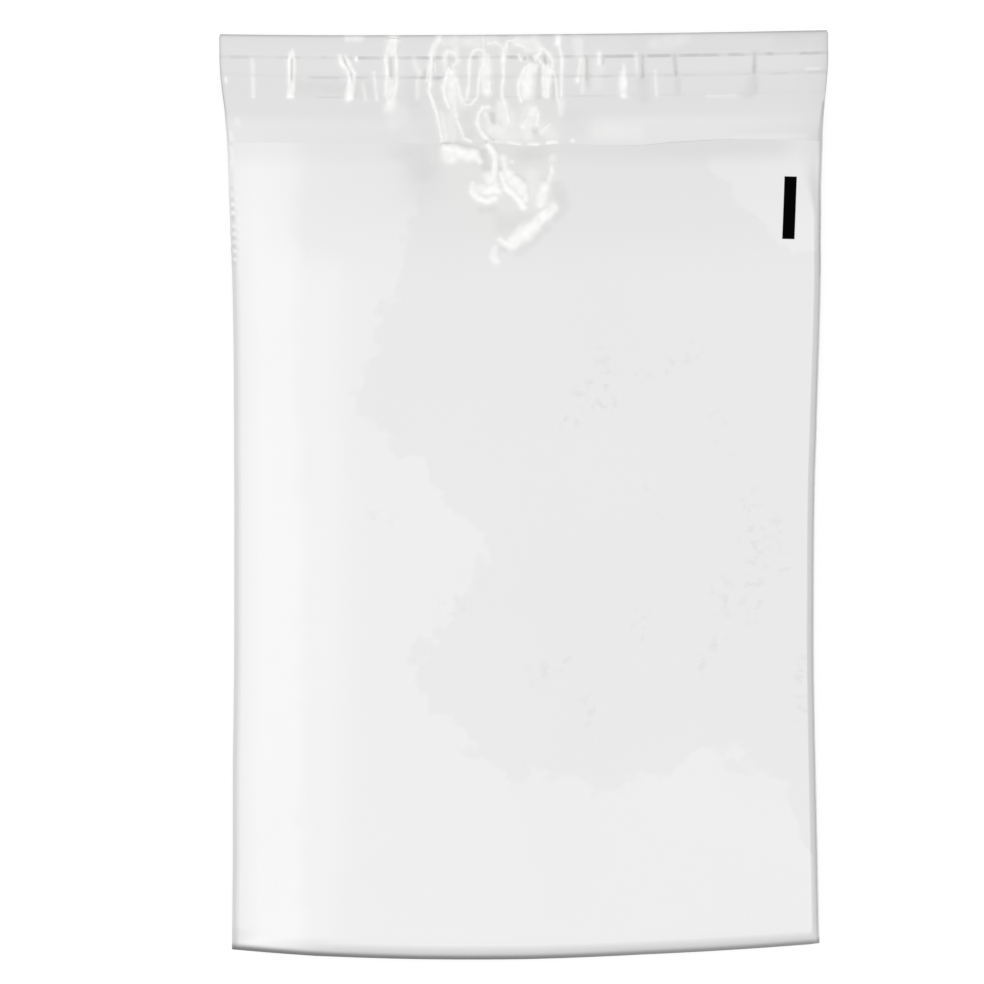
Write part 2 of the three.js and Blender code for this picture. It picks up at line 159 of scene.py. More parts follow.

# %% [markdown]
# ## Where the film creases
#
# Film can't shrink in its own plane, so wherever it has a little too much length it makes
# a fold. Over the mouth and the glue these are short tunnels that run away from the fold,
# and in the middle, where the flap was pressed down by hand, they pile up into a crumple.
# Each crease is a line of points (across, drop). Its reach is half its width, its rise is
# how far it stands up, and its tone is how much the stretched film whitens along it, which
# also paints the highlight on its flanks. A negative rise is a pinch or a hollow, and its
# tone is how much painted shade it gets.

# %% Creases of the flap
FOLDS = [
    # rise, reach, tone, points
    (0.1, 0.5, 0.9, [(-117.4, 17.5), (-117.3, 18.6)]),
    (0.1, 0.9, 0.35, [(-113, 34), (-112.8, 35.5)]),
    (0.35, 0.7, 0.45, [(-106.8, 9), (-106.5, 17), (-106.4, 24.6)]),
    (0.1, 0.45, 0.6, [(-106.5, 17), (-106.4, 24.6)]),
    (0.5, 1.3, 0.0, [(-91.5, 8), (-91.7, 24)]),
    (0.15, 0.5, 0.95, [(-91.1, 6.5), (-92.4, 9.8), (-92.5, 17.1), (-92.9, 24.7)]),
    (0.15, 0.5, 0.9, [(-91.1, 6.5), (-90.4, 9.8), (-90.6, 17.1), (-91.1, 24.7)]),
    (0.1, 1.2, 0.85, [(-91.8, 19.5), (-92, 24.2)]),
    (0.5, 1.8, 0.0, [(-71, 9), (-68.8, 16), (-68.5, 24.5)]),
    (0.2, 0.7, 0.95, [(-72.4, 8.4), (-71.6, 11.2), (-69.2, 14), (-68.6, 17.3), (-69.5, 24.9)]),
    (0.2, 0.6, 0.95, [(-70, 8.4), (-68.4, 12), (-66.8, 14.9), (-67.1, 18.9), (-67.9, 24.9)]),
    (0.1, 1.3, 0.9, [(-68.3, 20), (-68.8, 24.6)]),
    (0.1, 1.2, 0.7, [(-68, 18.8), (-69, 24.3)]),
    (0.2, 0.5, 1.0, [(-66, 8.8), (-65.8, 9.8)]),
    (0.1, 0.8, 0.5, [(-69.5, 1.6), (-64, 1.7)]),
    (0.3, 0.7, 0.35, [(-63.2, 18.9), (-62.3, 25)]),
    (0.3, 0.5, 0.6, [(-59, 14.6), (-58.5, 19.5), (-57.8, 25.1)]),
    (0.7, 2.0, 0.0, [(-51, 3), (-52.1, 12), (-52.2, 26)]),
    (0.2, 0.7, 0.9, [(-51.4, 1.3), (-53.7, 6.2), (-54.3, 9.1), (-53.8, 13.7), (-54, 18.9),
                     (-54.4, 23.5), (-53.1, 27.4)]),
    (0.2, 0.7, 0.9, [(-50.3, 1.3), (-50.4, 6.2), (-50.1, 9.5), (-50.1, 14.4), (-50, 18.3),
                     (-50.8, 23.5), (-52.6, 26.8)]),
    (0.1, 1.9, 0.75, [(-51.5, 2.5), (-51.9, 7)]),
    (0.1, 2.2, 0.6, [(-52.2, 18), (-52.6, 28)]),
    (0.1, 2.8, 0.25, [(-51, 3), (-52, 30)]),
    (0.2, 2.6, 0.15, [(-48, 30), (-52, 34)]),
    (0.3, 0.8, 0.45, [(-43.1, 8.9), (-42.2, 12.5), (-41.1, 14.4), (-41.9, 19), (-41.8, 24.3)]),
    (0.3, 1.1, 0.75, [(-32.9, 1.3), (-35.1, 4.4), (-36.1, 7.9)]),
    (0.5, 0.6, 0.9, [(-36.1, 7.9), (-36.2, 12.9), (-36.7, 18.4), (-37.3, 21.7), (-35.6, 26.6),
                     (-34.1, 30.9), (-33.2, 35.8), (-32.3, 41.7)]),
    (0.3, 0.8, 0.6, [(-36.6, 11.9), (-37.4, 15.1), (-38, 17.4)]),
    (0.1, 0.35, 0.6, [(-35, 10.6), (-35, 14.2)]),
    (0.2, 1.8, 0.35, [(-31, 2.5), (-27, 3), (-21, 2.6)]),
    (0.3, 0.9, 0.65, [(-29.7, 6.7), (-30.8, 8.3), (-30.9, 10.3), (-29.6, 12.6)]),
    (0.3, 0.9, 0.65, [(-29, 6.7), (-26.4, 7.7), (-25.7, 9.7), (-27.1, 11.3), (-29.1, 12.8)]),
    (0.4, 0.7, 0.95, [(-29.6, 12.9), (-30.4, 16.5), (-31.5, 20.4), (-31.1, 24), (-29.5, 28.3)]),
    (0.4, 0.8, 0.8, [(-29.1, 13.2), (-27.8, 15.2), (-26.5, 17.5), (-25.7, 20.8), (-24.9, 24.1),
                     (-23, 27)]),
    (0.2, 0.6, 0.8, [(-28.3, 16.5), (-27.5, 19.8), (-26.7, 23.1)]),
    (0.1, 1.4, 0.4, [(-26.4, 1.5), (-26.6, 6.5)]),
    (0.1, 2.1, 0.7, [(-28.6, 14.5), (-28.2, 25.5)]),
    (0.1, 1.6, 0.5, [(-33, 31), (-31.2, 41)]),
    (0.1, 2.0, 0.3, [(-27, 26), (-29, 40)]),
    (0.4, 0.8, 0.75, [(-27.2, 25), (-27.1, 29.3), (-26.1, 33.6)]),
    (0.4, 0.6, 0.75, [(-26.1, 33.6), (-24.7, 37.2), (-23.7, 40.5), (-20.8, 42)]),
    (0.2, 0.5, 0.4, [(-26.8, 37.2), (-27.8, 41.7)]),
    (0.4, 1.8, 0.0, [(-19.8, 9), (-20.3, 24)]),
    (0.3, 0.6, 0.8, [(-21, 8.7), (-21.2, 14), (-21.6, 19.2), (-22.4, 24.4), (-23, 27.4)]),
    (0.2, 0.5, 0.75, [(-21, 8.7), (-19.5, 6.3), (-17.2, 5.5), (-15.1, 7.1), (-14.6, 9.4)]),
    (0.3, 0.5, 0.85, [(-23, 27.5), (-20.5, 27.2), (-18, 24.1), (-17.8, 19.2), (-16.8, 13.7),
                      (-15.2, 10.7)]),
    (0.2, 0.5, 0.7, [(-15.8, 1.6), (-15.5, 6.1), (-15.2, 11.4)]),
    (0.4, 1.9, 0.75, [(-15, 10), (-14.6, 18), (-14.4, 22)]),
    (0.2, 0.5, 0.8, [(-13.8, 8.1), (-13.4, 13.4), (-13.4, 18.6), (-13.1, 22.2)]),
    (0.2, 0.6, 1.0, [(-13.4, 18.6), (-13.3, 21.9)]),
    (0.1, 2.2, 0.3, [(-19, 3), (-12, 2.6)]),
    (0.3, 0.7, 0.9, [(-7.8, 5.9), (-7.8, 11.5), (-7.8, 16.7), (-8.4, 21.3), (-8.3, 24.5),
                     (-7.2, 27.8), (-6.3, 32.4), (-5.8, 34.1)]),
    (0.1, 2.2, 0.5, [(-8.6, 27.5), (-8, 33)]),
    (0.1, 3.4, 0.4, [(-7, 33.5), (-5, 38.5)]),
    (0.2, 0.5, 0.75, [(-13.9, 3.7), (-11.1, 2.9), (-9, 4.2), (-7.8, 5.9)]),
    (0.1, 0.7, 0.7, [(-6.4, 3.3), (-7.2, 6.9)]),
    (0.1, 0.4, 0.8, [(-6.2, 2.6), (-3.9, 2.5), (-2.3, 1.8)]),
    (0.2, 0.6, 0.8, [(-2.9, 3.8), (-0.6, 4.5), (0.7, 5.1)]),
    (0.2, 1.6, 0.45, [(1.5, 5.3), (7, 6.3)]),
    (0.6, 2.3, 0.9, [(3, 13.5), (1.8, 18), (1, 23.5)]),
    (0.1, 1.8, 0.45, [(-3, 3), (4, 3.2), (7, 6)]),
    (0.2, 0.6, 1.0, [(0.8, 12.8), (2.9, 11.7), (5.2, 12.2)]),
    (0.2, 0.6, 0.95, [(0.8, 12.8), (-0.9, 16.4), (-1.8, 19.4), (-1.9, 23.3), (-0.8, 26.2)]),
    (0.1, 0.7, 0.95, [(2.2, 15), (1.2, 18.7), (0.4, 24.5)]),
    (0.4, 1.6, 0.75, [(9.8, 13), (9.2, 22)]),
    (0.2, 0.6, 0.85, [(8.1, 11.9), (7.9, 18.1), (8.5, 24.4)]),
    (0.2, 0.6, 0.9, [(11.2, 13.9), (10.2, 18.1), (9.5, 24.4)]),
    (0.2, 0.7, 0.85, [(7, 6), (8.3, 5.9), (10.3, 8), (11.8, 10.6), (11.3, 13.9)]),
    (0.1, 0.5, 0.85, [(7, 7), (5.5, 8.6), (7, 11.1)]),
    (0.1, 0.5, 0.8, [(4.6, 8.4), (5, 10)]),
    (0.1, 0.5, 0.7, [(-1.6, 8), (-0.8, 10.2)]),
    (0.2, 0.5, 0.7, [(11.7, 14.2), (12.7, 16.9), (13.1, 21.4), (13.3, 24.7), (14.1, 27), (14.6, 29.3)]),
    (0.2, 0.9, 1.0, [(13.9, 1.7), (13.8, 3.8)]),
    (0.3, 0.6, 0.85, [(14.2, 4.4), (15.4, 9), (15.1, 18.2), (15.1, 24.4)]),
    (0.2, 1.4, 0.35, [(15.1, 26), (14.8, 31)]),
    (0.2, 1.8, 0.35, [(22, 3), (22.5, 8)]),
    (0.2, 0.6, 0.6, [(22.8, 9.4), (22.2, 13.3), (21.5, 18.2)]),
    (0.1, 0.7, 1.0, [(21.5, 17.6), (21.6, 18.4)]),
    (0.2, 0.8, 0.4, [(23.5, 8.4), (23.4, 22.8)]),
    (0.3, 0.7, 0.75, [(30.1, 7.8), (30.1, 11.8)]),
    (0.1, 2.0, 0.2, [(30, 12), (29, 20)]),
    (0.4, 1.0, 0.0, [(39.8, 14), (39.8, 24)]),
    (0.2, 0.5, 0.85, [(39.8, 12.5), (38.7, 18.5), (39.7, 24.4)]),
    (0.2, 0.5, 0.8, [(39.8, 12.5), (40.7, 18.5), (40.1, 24.4)]),
    (0.1, 1.3, 0.8, [(39.5, 15.5), (39.7, 24.3)]),
    (0.2, 0.6, 0.5, [(52.2, 15), (52.6, 24.5)]),
    (0.1, 0.5, 0.4, [(44.6, 8), (44.9, 16)]),
    (0.1, 2.2, 0.2, [(51, 4.5), (64, 2.5)]),
    (0.1, 0.6, 0.25, [(73, 25.1), (83.5, 25)]),
    (0.1, 0.5, 0.4, [(112, 15.3), (117, 15.1)]),
    (0.1, 1.1, 0.12, [(84, 41.6), (98, 41.4), (111, 41.8)]),
    (0.1, 2.8, 0.22, [(29, 38.6), (44, 39.4)]),
    (0.1, 0.6, 0.4, [(-115.8, 38.8), (-115.2, 41.8)]),
]

PRESSED = [
    (0.6, 0.8, 0.8, [(-13.8, 28.4), (-16.1, 28.7), (-17.8, 30.7), (-18.2, 34.3), (-17.2, 37.6),
                     (-14.9, 40.5), (-12.6, 42.2)]),
    (0.3, 0.8, 0.6, [(-15, 31), (-13.7, 34.3), (-11.8, 36), (-10.3, 35)]),
    (0.3, 2.8, 0.5, [(-12, 37.5), (-7, 40)]),
    (0.4, 1.0, 0.75, [(5, 28.7), (5.8, 31.5), (5, 35.5)]),
    (0.4, 1.3, 0.65, [(4.1, 29.6), (2.1, 32.2), (0.4, 35.7)]),
    (0.3, 2.2, 0.5, [(0.5, 35), (2, 40)]),
    (0.1, 3.0, 0.6, [(3.2, 30.5), (1.2, 36.5)]),
    (0.1, 2.4, 0.35, [(8, 37), (11.6, 40)]),
    (0.3, 0.6, 0.6, [(10.2, 35.5), (8.7, 36.8), (6.9, 38.4)]),
    (0.1, 0.8, 0.4, [(-13.6, 42.3), (-8, 42.2)]),
    (0.2, 0.5, 1.0, [(-6.4, 42.5), (-1.6, 43.5)]),
    (0.2, 0.5, 1.0, [(2, 43.6), (5.4, 43.5)]),
    (0.2, 0.5, 1.0, [(9.3, 43), (13, 42.7)]),
    (0.1, 0.6, 0.8, [(18.9, 42.2), (19.7, 42.2)]),
]

PINCHES = [
    (-0.1, 0.42, 0.8, [(-91.4, 9.4), (-91.5, 17.1)]),
    (-0.1, 0.42, 0.9, [(-70.8, 9.2), (-69.8, 12.6), (-68, 15.3), (-67.6, 17.7)]),
    (-0.1, 0.7, 0.85, [(-52.3, 8.5), (-52.3, 13), (-52.1, 17.2)]),
    (-0.1, 0.5, 0.6, [(-38.7, 14.1), (-39.1, 17.1)]),
    (-0.1, 0.4, 0.8, [(-35.4, 8.9), (-35.6, 13.8)]),
    (-0.1, 0.45, 0.7, [(-36, 16.8), (-33.4, 17.1)]),
    (-0.1, 0.45, 0.7, [(-27.3, 9), (-27.5, 10.8)]),
    (-0.1, 0.5, 0.4, [(-29, 8.8), (-29, 10.6)]),
    (-0.1, 1.1, 0.45, [(-12.4, 31.5), (-12, 34.8)]),
    (-0.1, 0.35, 0.9, [(0.6, 9), (0.6, 9.6)]),
    (-0.1, 0.6, 0.7, [(2.9, 8.9), (3.9, 9.9)]),
    (-0.1, 0.45, 0.8, [(6, 9.1), (6.4, 10.3)]),
    (-0.1, 0.6, 0.7, [(8.5, 8.6), (8.9, 11.6)]),
    (-0.1, 0.9, 0.35, [(6.3, 14), (6.2, 24.5)]),
    (-0.1, 0.6, 0.35, [(12, 19), (12, 25)]),
    (-0.1, 0.5, 0.8, [(25.2, 9.1), (25.2, 17.8)]),
    (-0.1, 0.8, 0.3, [(25.5, 10), (25.6, 20)]),
    (-0.1, 0.4, 0.6, [(31.7, 9.5), (31.6, 11.8)]),
    (-0.1, 1.2, 0.3, [(3.9, 33), (4.3, 38.5)]),
    (-0.1, 0.7, 0.75, [(47.3, 9.1), (47.2, 17.2)]),
    (-0.1, 2.3, 0.22, [(47.6, 17.5), (47.7, 24.5)]),
    (-0.1, 0.6, 0.75, [(59.9, 8.9), (60.4, 16.8)]),
    (-0.1, 1.3, 0.24, [(60.9, 17.5), (61.1, 24)]),
    (-0.1, 0.6, 0.7, [(91.5, 8.9), (91.3, 16.6)]),
    (-0.1, 1.2, 0.3, [(91.3, 17.5), (91.5, 24)]),
    (-0.1, 2.2, 0.22, [(91, 19), (89, 24)]),
    (-0.1, 4.0, 0.12, [(104, 3.5), (119, 4)]),
    (-0.1, 2.6, 0.16, [(-89, 20.6), (-62, 20.6)]),
    (-0.1, 3.0, 0.14, [(-44, 20), (-43, 26)]),
    (-0.1, 3.5, 0.06, [(-41, 31), (-39, 37)]),
    (-0.1, 2.5, 0.12, [(-22, 33), (-21, 38)]),
    (-0.1, 2.0, 0.14, [(-10, 17), (-11, 26)]),
    (-0.1, 3.5, 0.1, [(18, 33), (24, 36)]),
]

# %% Creases of the front below the flap
CRUMPLE = [
    (0.7, 1.2, 0.85, [(-31.4, 43.9), (-26.6, 44.6), (-22.4, 45.5), (-18.6, 46.3), (-17.4, 49.7)]),
    (0.3, 2.7, 1.0, [(-29.6, 45.6), (-29, 48.2)]),
    (0.3, 2.2, 0.8, [(-26.4, 46.8), (-19.2, 47.4)]),
    (0.2, 1.2, 0.6, [(-25, 46.6), (-20, 47)]),
    (0.8, 1.2, 0.95, [(-14.1, 43), (-11.7, 46.9), (-11.3, 50.3), (-12, 55.9), (-10.1, 61)]),
    (0.3, 2.3, 0.85, [(-13.2, 56.5), (-12.8, 60.6)]),
    (0.4, 1.2, 0.9, [(-20.2, 58.8), (-20.5, 61.8), (-18.1, 64.8), (-14.7, 66), (-11.8, 64.8)]),
    (0.3, 2.2, 0.95, [(-18.4, 61.4), (-14.6, 61.8), (-11.4, 61.2)]),
    (0.2, 1.3, 0.9, [(-18.3, 64.4), (-14.5, 65.4), (-12.2, 64.8)]),
    (0.4, 1.0, 0.9, [(-8.2, 48.5), (-7.5, 53.2), (-4.4, 54.6)]),
    (0.2, 1.7, 0.55, [(-3.4, 58), (-1, 62), (-0.6, 65)]),
    (0.6, 1.1, 0.95, [(-8.9, 55), (-8.6, 58), (-7.2, 60.6), (-4.2, 63.2), (-1.8, 66), (-0.4, 68.4)]),
    (0.4, 1.1, 0.85, [(-3.2, 56.6), (-0.2, 59.4), (0.5, 63.7), (0, 67.5)]),
    (0.3, 2.7, 0.85, [(-6.6, 55.8), (-3.6, 58.8), (-1.8, 62.4)]),
    (0.3, 1.4, 0.45, [(11.4, 48.5), (11.1, 53.5)]),
    (0.5, 0.9, 0.7, [(11, 52), (10.6, 54.5), (9.8, 58.2), (8.1, 60.3)]),
    (0.4, 1.9, 0.95, [(8.3, 60.6), (7, 64.6), (6.4, 67)]),
    (0.2, 0.9, 0.9, [(10.8, 53), (10.9, 55)]),
    (0.2, 1.5, 0.75, [(6.6, 66.5), (9.6, 69.4)]),
    (0.3, 2.6, 0.3, [(3, 55), (4, 62)]),
    (0.6, 2.5, 1.0, [(3.2, 75.8), (-1.9, 79.6), (-4.4, 81.9)]),
    (0.5, 2.1, 1.0, [(8.3, 71.3), (3.2, 75.8)]),
    (0.4, 1.7, 1.0, [(11, 68.7), (8.3, 71.3)]),
    (0.4, 1.0, 0.8, [(-9.7, 81.1), (-5.8, 83.6)]),
    (0.5, 1.4, 0.55, [(-11.8, 84.1), (-12.3, 86.7), (-11, 89.7)]),
    (0.1, 0.4, 0.9, [(-4.9, 50.2), (-4.6, 50.4)]),
]
HOLLOWS = [
    (-0.4, 5.0, 0.1, [(-44, 47), (-40, 52)]),
    (-0.4, 1.4, 0.3, [(-15.8, 46), (-15.2, 52)]),
    (-0.4, 1.0, 0.35, [(-10, 50), (-10.4, 55), (-9.4, 60)]),
    (-0.4, 4.0, 0.16, [(-8, 74), (-2, 73)]),
    (-0.4, 2.5, 0.2, [(13.5, 60), (15, 66), (12, 72)]),
    (-0.4, 2.0, 0.2, [(9, 76), (3, 81), (-3, 85.5)]),
    (-0.3, 0.8, 0.3, [(-7.5, 85.3), (-9.3, 84.8)]),
    (-0.3, 2.6, 0.14, [(-1, 46.5), (6, 46.8)]),
    (-0.2, 1.4, 0.2, [(-17, 69), (-11, 69)]),
]

# The edges of the goods press through the film as faint, broken marks.
THROUGH = [
    (-0.1, 3.6, 0.8, [(17, 152), (24, 141), (33, 137)]),
    (-0.1, 3.0, 0.8, [(20, 150), (33, 146)]),
    (-0.1, 3.0, 0.6, [(46, 136), (58, 132), (66, 126)]),
    (-0.1, 3.0, 0.5, [(28, 122), (31, 132)]),
    (-0.1, 4.2, 0.7, [(88, 186), (90, 205), (87, 230)]),
    (-0.1, 3.6, 0.5, [(97, 196), (101, 214)]),
    (-0.1, 3.4, 0.7, [(76, 220), (78, 228)]),
    (-0.1, 3.2, 0.7, [(43, 230), (45, 238)]),
    (-0.1, 3.6, 0.6, [(2, 252), (14, 248)]),
    (-0.1, 3.0, 0.6, [(66, 252), (74, 242)]),
    (-0.1, 3.6, 0.5, [(24, 262), (28, 276)]),
    (-0.1, 3.2, 0.5, [(-34, 224), (-26, 226)]),
    (-0.1, 3.6, 0.7, [(108, 252), (109, 272)]),
    (-0.1, 2.6, 0.4, [(-62, 190), (-54, 192)]),
    (-0.1, 4.0, 0.4, [(76, 154), (78, 166)]),
    (-0.1, 3.0, 0.4, [(46, 180), (52, 188)]),
]
print(sum(map(len, (FOLDS, PRESSED, PINCHES, CRUMPLE, HOLLOWS, THROUGH))), "creases")

# %% [markdown]
# A crease acts on the points near it and fades out as a bell curve does. The same distance
# gives how far a point rises and how much it whitens with painted highlight, or darkens, as
# painted shade in pinches and hollows and as marks where the goods press through, so the
# colour of a crease always lies on its shape. Slow noise varies its width and its strength.

# %% The reach of a crease
SHARP = 1.1  # creases of less reach are sharp lines
SHARP_SPREAD, BROAD_SPREAD = 1.3, 1.15
SHARP_PEAK = 0.92
STRENGTH_MEAN = 0.92
WIDTH_WAVES = (4.5, 1.7)  # size and seed of the noise that varies a crease's width
STRENGTH_WAVES = (2.6, 5.2)  # and of the one that varies its strength


def bell(away, reach):
    return np.exp(-((away / reach) ** 2))


def distance(x, drop, points):
    least = np.full(x.shape, 1e9)
    for (x0, d0), (x1, d1) in zip(points, points[1:]):
        run = (x1 - x0) ** 2 + (d1 - d0) ** 2
        along = np.clip(((x - x0) * (x1 - x0) + (drop - d0) * (d1 - d0)) / run, 0, 1)
        least = np.minimum(least, np.hypot(x - x0 - along * (x1 - x0), drop - d0 - along * (d1 - d0)))
    return least


def waves(x, drop, size, seed):
    return np.array([noise.noise(Vector((a / size, d / size, seed))) for a, d in zip(x, drop)])


def creased(x, drop, creases):
    rise, pale, dark = (np.zeros(x.shape) for _ in range(3))
    wider = 1 + 0.4 * waves(x, drop, *WIDTH_WAVES)
    stronger = STRENGTH_MEAN + 0.4 * waves(x, drop, *STRENGTH_WAVES)
    for height, reach, strength, points in creases:
        sharp = reach < SHARP
        spread = SHARP_SPREAD if sharp else BROAD_SPREAD
        away = distance(x, drop, points) / (spread * reach * wider)
        near = SHARP_PEAK * np.exp(-(away**2)) if sharp else np.exp(-(away**3))
        rise += height * near
        tone = strength * stronger * near
        if height > 0:
            pale = np.maximum(pale, tone)
        else:
            dark = np.maximum(dark, tone)
    return rise, pale, dark


def near_creases(x, drop, creases, margin):
    near = np.zeros(x.shape, bool)
    for _, reach, _, points in creases:
        near |= distance(x, drop, points) < 1.5 * reach + margin
    return near


print("a crease fades to", round(float(bell(1.0, 1.0)), 2), "at its reach")

# %% [markdown]
# ## The film of the body
#
# By hand, a soft bag starts as a flat slab with an even grid: a plane is extruded once,
# which gives the front, the back and the thin side walls in one closed skin. The front is
# then subdivided for its shoulders, and again beside the welds, along the foot fold and
# near each crease, so the small faces are only where small folds need them. The back stays
# coarse, because it lies on the table. Blender's cloth could inflate this slab, but the
# pinch of the flap and the places of the folds would then be chance. Here the points are
# pushed by the curves above instead, as with a sculpting brush.


# %% Helpers for a slab of film
def only(obj):
    bpy.ops.object.select_all(action="DESELECT")
    obj.select_set(True)
    bpy.context.view_layer.objects.active = obj


def cut_faces(obj, wanted, cuts, both_sides=False):
    bpy.ops.object.mode_set(mode="EDIT")
    bpy.ops.mesh.select_mode(type="FACE")
    bpy.ops.mesh.select_all(action="DESELECT")
    bpy.ops.object.mode_set(mode="OBJECT")
    mesh = obj.data
    centre, normal = np.zeros(len(mesh.polygons) * 3), np.zeros(len(mesh.polygons) * 3)
    mesh.polygons.foreach_get("center", centre)
    mesh.polygons.foreach_get("normal", normal)
    centre, normal = centre.reshape(-1, 3), normal.reshape(-1, 3)
    facing = np.abs(normal[:, 2]) if both_sides else normal[:, 2]
    picked = wanted(centre[:, 0], centre[:, 1]) & (facing > 0.9)
    mesh.polygons.foreach_set("select", picked)
    bpy.ops.object.mode_set(mode="EDIT")
    bpy.ops.mesh.subdivide(number_cuts=cuts)
    bpy.ops.object.mode_set(mode="OBJECT")
    print(obj.name, int(picked.sum()), "faces cut, now", len(mesh.polygons))


def film_slab(name, columns, rows):
    bpy.ops.object.select_all(action="DESELECT")
    bpy.ops.mesh.primitive_grid_add(x_subdivisions=columns, y_subdivisions=rows, size=2)
    slab = bpy.context.object
    slab.name = slab.data.name = name
    bpy.ops.object.mode_set(mode="EDIT")
    bpy.ops.mesh.select_all(action="SELECT")
    bpy.ops.mesh.extrude_region_move(TRANSFORM_OT_translate={"value": (0, 0, 1)})
    bpy.ops.mesh.select_all(action="SELECT")
    bpy.ops.mesh.normals_make_consistent(inside=False)
    bpy.ops.object.mode_set(mode="OBJECT")
    return slab


def points_of(mesh):
    flat = np.zeros(len(mesh.vertices) * 3)
    mesh.vertices.foreach_get("co", flat)
    return flat.reshape(-1, 3)


def keep(mesh, **looks):
    ones = np.ones(len(mesh.vertices))
    for name, values in looks.items():
        layer = mesh.attributes.new(name, "FLOAT", "POINT")
        layer.data.foreach_set("value", (values * ones).astype(np.float32))


def lay_sheet_map(mesh, x, drop):
    layer = mesh.uv_layers.new(name="sheet")
    corner = np.zeros(len(mesh.loops), np.int32)
    mesh.loops.foreach_get("vertex_index", corner)
    uv = np.stack([x[corner] / (2 * HALF) + 0.5, drop[corner] / LENGTH], axis=1)
    layer.data.foreach_set("uv", uv.astype(np.float32).ravel())


# %% [markdown]
# The grid's own x and y, from -1 to 1, become each point's share and drop. Rows are spread
# by a curve, because the head end needs more of them. The place across and the drop are
# kept as the film's UV map, so the print and the glue lines follow the film.


# %% Body: rows, and where the faces are small
EDGE_BAND, FOOT_BAND = 11, 15
WELD_BAND, WELD_FROM, TURN_BAND = 4.4, 30, 5
BEAD_BAND, BEADS_FROM, BEADS_TO = 4, 40, 96


def body_drop(y):
    t = (1 - y) / 2
    return LENGTH * (0.6 * t + 0.4 * t**2)


def body_place(x, y):
    drop = body_drop(y)
    return from_above(x, drop)[0], drop


def everywhere(x, y):
    return np.ones(x.shape, bool)


def by_edges(x, y):
    return ((1 - np.abs(x)) * HALF < EDGE_BAND) | (LENGTH - body_drop(y) < FOOT_BAND)


def by_welds_and_foot(x, y):
    from_side, drop = (1 - np.abs(x)) * HALF, body_drop(y)
    beads = (x < 0) & (from_side < BEAD_BAND) & (drop > BEADS_FROM) & (drop < BEADS_TO)
    right_weld = (x > 0) & (from_side < WELD_BAND) & (drop > WELD_FROM)
    return beads | right_weld | (LENGTH - drop < TURN_BAND)


body = film_slab("mailer_body", 36, 54)
cut_faces(body, everywhere, 2)
cut_faces(body, by_edges, 1)
cut_faces(body, by_welds_and_foot, 2)
cut_faces(body, lambda x, y: near_creases(*body_place(x, y), CRUMPLE + HOLLOWS, 2.0), 1)
cut_faces(body, lambda x, y: near_creases(*body_place(x, y), CRUMPLE, 0.6), 1)

# %% [markdown]
# Each point goes to its height. The fill gives the body, slow waves make it soft, and the
# weld leaves a flat rim about a millimetre wide. The left weld has shrunk, which gathers
# the film beside it into a row of small dimples and bulges. The foot fold turns over with a
# small radius.

# %% Push the body into shape
DIMPLES = [  # drop and depth
    (53, 0.4), (61.2, 0.5), (66, 0.7), (69.3, 1.0), (72.7, 1.0), (74.5, 0.4), (77.8, 0.75),
    (80.9, 0.95), (84.5, 0.8), (88, 0.65), (90.8, 0.5),
]
BULGES = [  # drop and height
    (63.6, 0.3), (67.6, 0.8), (71, 0.9), (76.2, 0.7), (79.4, 0.9), (82.7, 0.5), (86.2, 0.8),
    (89.5, 0.8),
]
SLOW_WAVES = (46, 3.1)  # size and seed
EDGE = 0.4  # the thinnest that the slab gets
FOOT_TURN = 2.4
HEAD_INSET, FOOT_TUCK = 1.2, 0.5

grid = points_of(body.data)
share, drop, is_front = grid[:, 0], body_drop(grid[:, 1]), grid[:, 2] > 0.5
x, y = from_above(share, drop)
back = back_height(share, drop)
from_side = (1 - np.abs(share)) * half_width(drop)
inner = smooth(from_side / 25) * smooth((drop - 30) / 40) * smooth((LENGTH - drop) / 30)
# The crumple's creases whiten and carry painted highlights, and its hollows get painted shade.
rise, pale, dark = creased(x, drop, CRUMPLE + HOLLOWS)
sunk, _, marks = creased(x, drop, THROUGH)
front = front_height(share, drop) + rise + sunk + 0.5 * inner * waves(x, 0.65 * drop, *SLOW_WAVES)
to_foot = np.clip((LENGTH - drop) / FOOT_TURN, 0, 1)
front = back + EDGE + (front - back - EDGE) * np.sqrt(np.clip(1 - (1 - to_foot) ** 2, 0, 1)) ** 0.8

by_left_weld = (share < 0) * is_front
dimples = sum(deep * bell(drop - at, 0.85) for at, deep in DIMPLES)
bulges = sum(high * bell(drop - at, 1.0) for at, high in BULGES)
front = front + 0.3 * by_left_weld * (bulges - dimples) * bell(from_side - 2.0, 1.2)
x = x + 0.1 * by_left_weld * (bulges - dimples) * np.exp(-from_side / 1.5)

z = np.where(is_front, front, back)
at_head, at_foot = drop < 0.01, drop > LENGTH - 0.01
y = y - HEAD_INSET * at_head + FOOT_TUCK * (at_foot & ~is_front)
z = np.where(at_head & is_front, back + HEAD_FOLD, z)
z = np.where(is_front, np.maximum(z, back + EDGE), np.maximum(z, 0))
body.data.vertices.foreach_set("co", (np.stack([x, y, z], axis=1) * MM).ravel())
lay_sheet_map(body.data, x, drop)
print("body", len(body.data.vertices), "points, up to", round(float(z.max()), 1), "mm high")

# %% [markdown]
# The material needs to know where the welds, the dimples and the foot fold are. The welds
# have their own grey; the rims and the dimples get painted shade, the foot fold a painted
# shadow, and the bulges and the right wall painted light. Each is kept on the points as a
# number from 0 to 1, which a brush could paint by hand as well.

